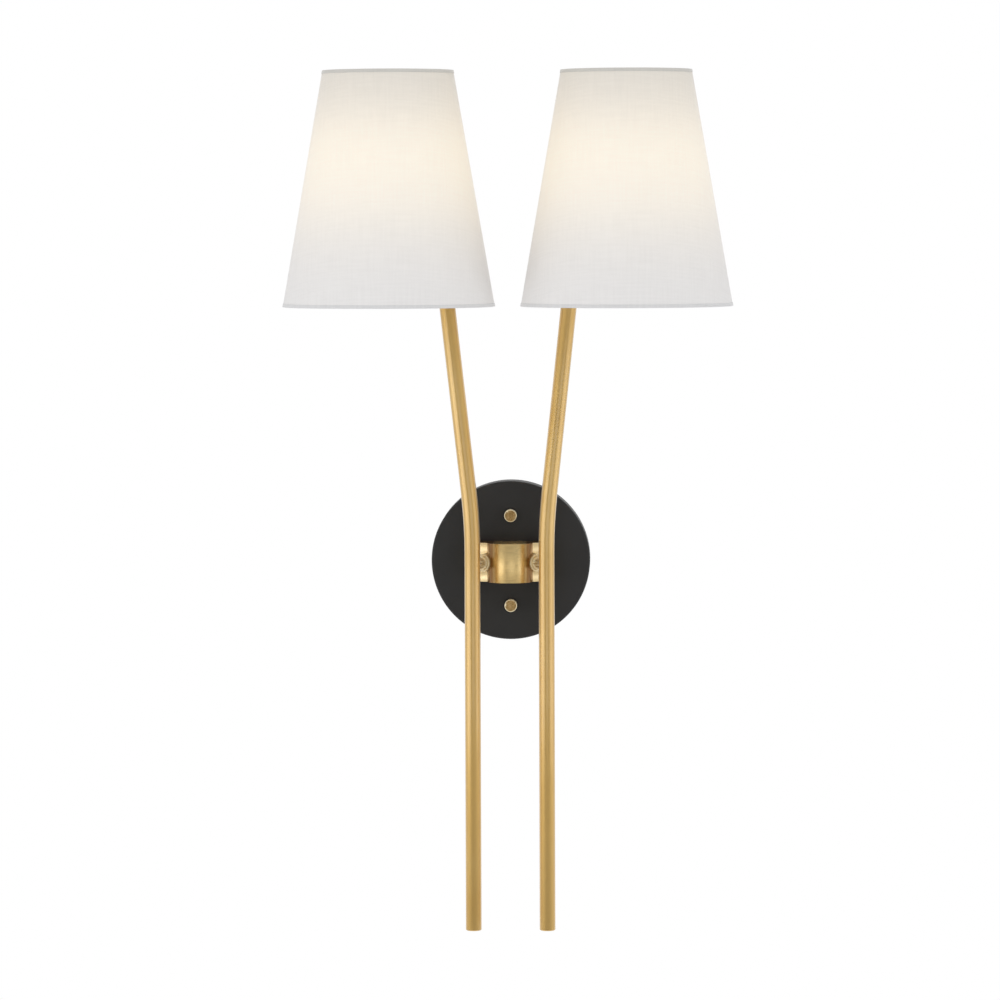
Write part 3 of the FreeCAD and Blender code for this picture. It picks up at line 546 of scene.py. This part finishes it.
hub = reworked("hub", "hub_body", "root", linished_brass, soften=HUB_EDGE)
# Shoulders in paler brass, partly a painted highlight.
second_finish(hub, blasted_brass, lambda middle, facing: abs(middle.x) > HUB_ROOT_X)
# Painted highlight on the hub's softened edges.
second_finish(hub, highlight_brass, lambda middle, facing: EDGE_HIGHLIGHT_TILT[0] < abs(facing.z) < EDGE_HIGHLIGHT_TILT[1])
# Bosses in brass lightened as a painted highlight.
for side, _ in SIDES:
    reworked("arm_boss_" + side, "boss_body_" + side, "root", turned_brass)
# Plate nuts with a painted highlight on their rims.
for name, height in (("upper", NUT_Z), ("lower", -NUT_Z)):
    nut = reworked("cap_nut_" + name, "nut_body_" + name, "cap_nut_" + name, highlight_brass)
    second_finish(nut, sanded_brass, lambda middle, facing: facing.y < NUT_FACE_TILT
                  and math.hypot(middle.x, middle.z - height) < NUT_DISH_R)


# ---- floor, light and camera ---------------------------------------------------------------------
def seen_share(tree):
    """1 for rays that show the background: from the camera, off gloss or through glass."""
    path = add(tree, "LightPath")
    first = add(tree, "Math", {0: path.outputs["Is Camera Ray"], 1: path.outputs["Is Glossy Ray"]},
                operation="MAXIMUM")
    both = add(tree, "Math", {0: first.outputs["Value"], 1: path.outputs["Is Transmission Ray"]},
               operation="MAXIMUM")
    return both.outputs["Value"]


def lay_floor():
    """A plain pale floor below the sconce."""
    bpy.ops.object.select_all(action="DESELECT")
    bpy.ops.mesh.primitive_circle_add(vertices=FLOOR_SIDES, radius=FLOOR_R, fill_type="NGON",
                                      location=FLOOR_PLACE)
    floor = bpy.context.object
    floor.name = "studio_floor"
    paint, tree = blank("floor_paint")
    matte = add(tree, "BsdfDiffuse", {"Color": linear("#F2F2F0")})
    white = add(tree, "Emission", {"Color": WHITE, "Strength": 1.0})
    share = add(tree, "Math", {0: seen_share(tree), 1: FLOOR_WHITE}, operation="MULTIPLY")
    mixed = add(tree, "MixShader", {"Fac": share.outputs["Value"], 1: matte.outputs["BSDF"],
                                    2: white.outputs["Emission"]})
    add(tree, "OutputMaterial", {"Surface": mixed.outputs["Shader"]})
    floor.data.materials.append(paint)


def light_room():
    """Light from all round; gloss shows white beyond the sconce and a darker room in front of it."""
    world = bpy.data.worlds.new("studio")
    world.use_nodes = True
    tree = world.node_tree
    tree.nodes.clear()
    way = add(tree, "SeparateXYZ", {"Vector": add(tree, "TexCoord").outputs["Generated"]})
    depth = add(tree, "MapRange", {"Value": way.outputs["Y"], "From Min": -1.0, "From Max": 1.0,
                                   "To Min": ROOM_GLOSS, "To Max": 1.0})
    path = add(tree, "LightPath")
    gloss = add(tree, "Mix", {MIX_SHARE: path.outputs["Is Glossy Ray"], NUMBER_A: 1.0,
                              NUMBER_B: depth.outputs["Result"]})
    room = add(tree, "Background", {"Color": WHITE, "Strength": ROOM_LEVEL})
    seen = add(tree, "Background", {"Color": WHITE, "Strength": gloss.outputs[NUMBER_MIXED]})
    mixed = add(tree, "MixShader", {"Fac": seen_share(tree), 1: room.outputs["Background"],
                                    2: seen.outputs["Background"]})
    add(tree, "OutputWorld", {"Surface": mixed.outputs["Shader"]})
    bpy.context.scene.world = world


def softbox(name, azimuth, height, distance, size, radiance):
    """Area lamp round the sconce; azimuth 0 is in front, positive to the viewer's right."""
    turn = math.radians(azimuth)
    place = LAMP_AIM + Vector((math.sin(turn) * distance, -math.cos(turn) * distance, height))
    aim = LAMP_AIM + Vector((0, 0, LAMP_AIM_RISE * height))
    lamp = bpy.data.lights.new(name, "AREA")
    lamp.shape = "RECTANGLE"
    lamp.size = size[0]
    lamp.size_y = size[1]
    lamp.energy = radiance * math.pi * size[0] * size[1]
    holder = bpy.data.objects.new(name, lamp)
    bpy.context.scene.collection.objects.link(holder)
    holder.location = place
    holder.visible_camera = False
    holder.rotation_euler = (aim - place).to_track_quat("-Z", "Y").to_euler()


def set_camera():
    """The photograph's point of view."""
    camera_data = bpy.data.cameras.new("photo_camera")
    camera_data.sensor_width = CAMERA_SENSOR_MM
    camera_data.lens = CAMERA_LENS_MM
    camera = bpy.data.objects.new("photo_camera", camera_data)
    bpy.context.scene.collection.objects.link(camera)
    camera.location = CAMERA_PLACE
    roll = Quaternion((0, 0, 1), math.radians(CAMERA_ROLL_DEG))
    camera.rotation_euler = (Vector(CAMERA_AIM).to_track_quat("-Z", "Y") @ roll).to_euler()
    bpy.context.scene.camera = camera


lay_floor()
light_room()
softbox("key_softbox", azimuth=-58, height=-0.12, distance=0.75, size=(0.8, 0.2), radiance=1.65)
softbox("front_softbox", azimuth=8, height=-0.11, distance=0.75, size=(0.5, 0.16), radiance=0.95)
softbox("fill_softbox", azimuth=68, height=-0.12, distance=0.75, size=(0.7, 0.2), radiance=1.1)
softbox("top_softbox", azimuth=0, height=1.9, distance=1.0, size=(1.4, 1.4), radiance=0.5)
set_camera()
bpy.context.scene.view_settings.view_transform = "Standard"
